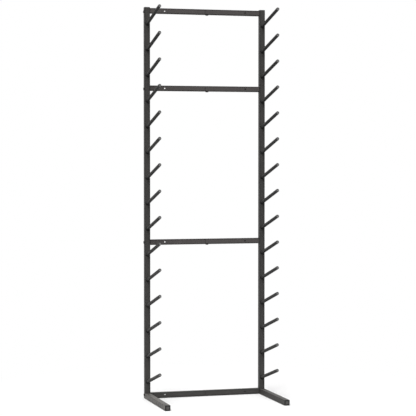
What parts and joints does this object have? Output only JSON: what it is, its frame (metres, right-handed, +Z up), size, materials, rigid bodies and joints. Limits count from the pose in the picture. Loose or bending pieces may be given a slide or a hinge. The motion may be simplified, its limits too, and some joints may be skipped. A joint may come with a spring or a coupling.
{
  "type": "blueprint storage rack",
  "caption": "Tall floor-standing rack for rolled drawings: a bolted square-tube frame with paired pegs that tilt up towards the front, on two long feet.",
  "frame": {"origin": "on the floor, in the middle of the rack's footprint", "axes": "+Z up, +X to the viewer's right when the rack is seen from the front, +Y from the front to the back, so the pegs and the feet point along -Y"},
  "size_m": [0.5846, 0.39, 1.8],
  "materials": {
    "powder_coat": "satin charcoal powder coat",
    "peg_coat": "satin charcoal powder coat",
    "cap_plastic": "matte black moulded plastic",
    "bolt_black": "black oxide steel"
  },
  "bodies": {
    "root": {"left_foot": "powder_coat", "left_upright_lower": "powder_coat", "left_upright_middle": "powder_coat", "left_upright_top": "powder_coat", "left_top_cap": "cap_plastic", "left_peg_01": "peg_coat", "left_peg_02": "peg_coat", "left_peg_03": "peg_coat", "left_peg_04": "peg_coat", "left_peg_05": "peg_coat", "left_peg_06": "peg_coat", "left_peg_07": "peg_coat", "left_peg_08": "peg_coat", "left_peg_09": "peg_coat", "left_peg_10": "peg_coat", "left_peg_11": "peg_coat", "left_peg_12": "peg_coat", "left_peg_13": "peg_coat", "left_peg_14": "peg_coat", "left_peg_15": "peg_coat", "bottom_rail_left_bolt": "bolt_black", "lower_rail_left_bolt": "bolt_black", "upper_rail_left_bolt": "bolt_black", "top_rail_left_bolt": "bolt_black", "right_foot": "powder_coat", "right_upright_lower": "powder_coat", "right_upright_middle": "powder_coat", "right_upright_top": "powder_coat", "right_top_cap": "cap_plastic", "right_peg_01": "peg_coat", "right_peg_02": "peg_coat", "right_peg_03": "peg_coat", "right_peg_04": "peg_coat", "right_peg_05": "peg_coat", "right_peg_06": "peg_coat", "right_peg_07": "peg_coat", "right_peg_08": "peg_coat", "right_peg_09": "peg_coat", "right_peg_10": "peg_coat", "right_peg_11": "peg_coat", "right_peg_12": "peg_coat", "right_peg_13": "peg_coat", "right_peg_14": "peg_coat", "right_peg_15": "peg_coat", "bottom_rail_right_bolt": "bolt_black", "lower_rail_right_bolt": "bolt_black", "upper_rail_right_bolt": "bolt_black", "top_rail_right_bolt": "bolt_black", "bottom_rail_left": "powder_coat", "bottom_rail_right": "powder_coat", "bottom_rail_centre_bolt": "bolt_black", "lower_rail_left": "powder_coat", "lower_rail_right": "powder_coat", "lower_rail_centre_bolt": "bolt_black", "upper_rail_left": "powder_coat", "upper_rail_right": "powder_coat", "upper_rail_centre_bolt": "bolt_black", "top_rail_left": "powder_coat", "top_rail_right": "powder_coat", "top_rail_centre_bolt": "bolt_black"}
  },
  "joints": []
}
